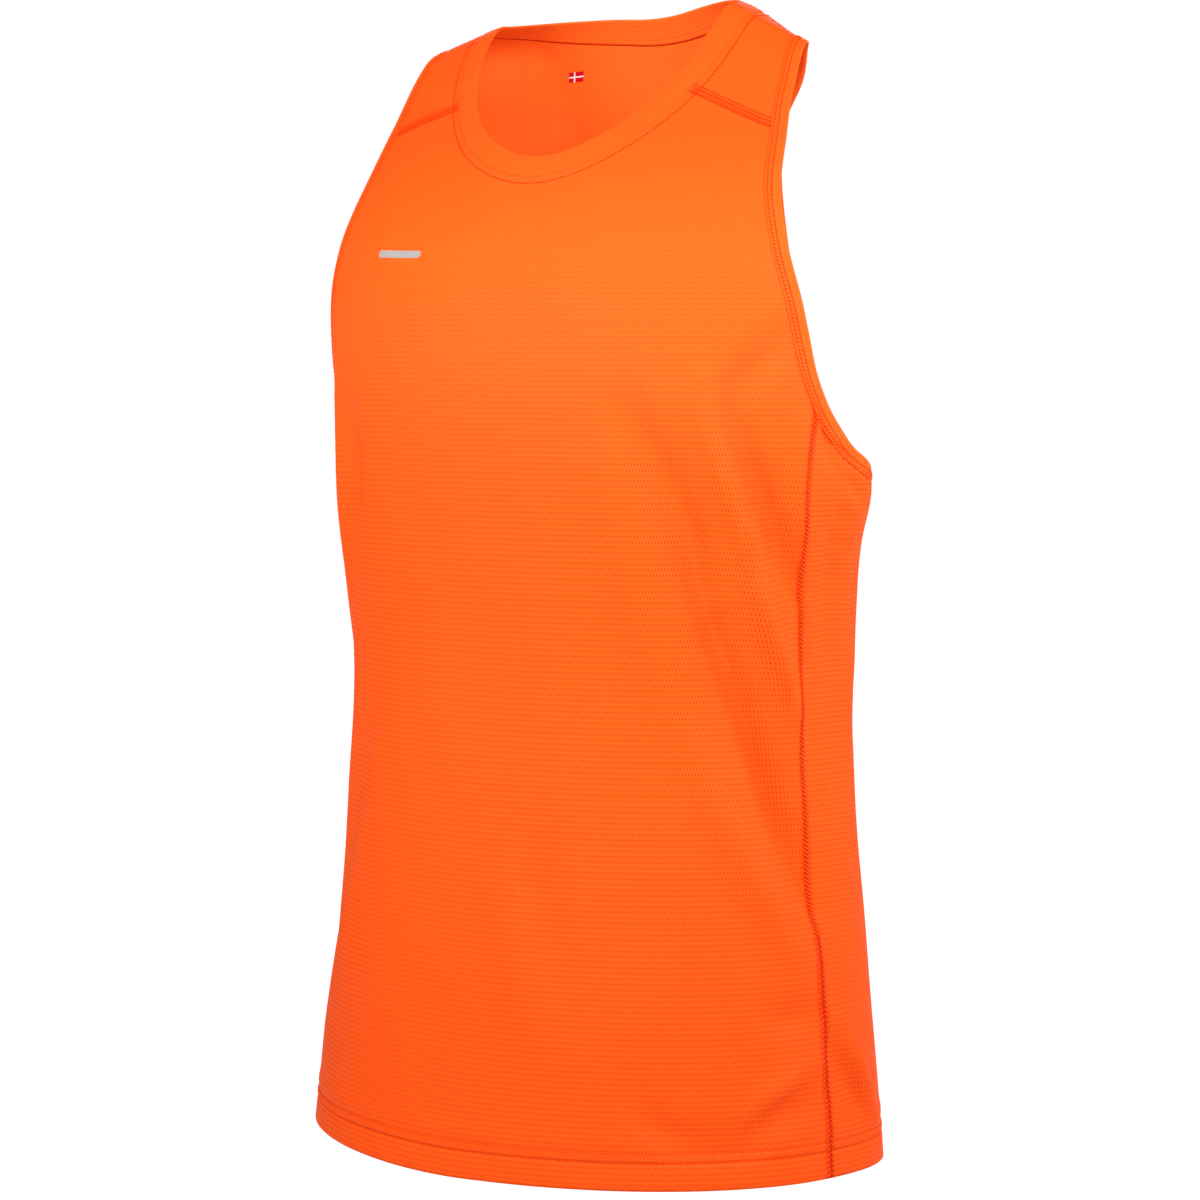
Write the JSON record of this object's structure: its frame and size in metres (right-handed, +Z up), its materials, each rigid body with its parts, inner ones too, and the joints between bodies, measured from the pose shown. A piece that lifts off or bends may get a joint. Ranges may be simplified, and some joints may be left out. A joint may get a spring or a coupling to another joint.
{
  "type": "running singlet",
  "caption": "Sleeveless knit running top, hollow and filled out as when worn, with a bound round neck and armholes and a turned hem.",
  "frame": {"origin": "centre line, at the height where the middles of the two shoulder straps rest on the wearer", "axes": "+Z up, -Y the garment's front, +X the wearer's left"},
  "size_m": [0.3786, 0.2798, 0.7138],
  "materials": {
    "mesh_knit": "bright orange polyester mesh knit",
    "band_knit": "bright orange folded knit strip"
  },
  "bodies": {
    "root": {"front_panel": "mesh_knit", "back_panel": "mesh_knit", "neckband": "band_knit", "armhole_binding_left": "band_knit", "armhole_binding_right": "band_knit"}
  },
  "joints": []
}
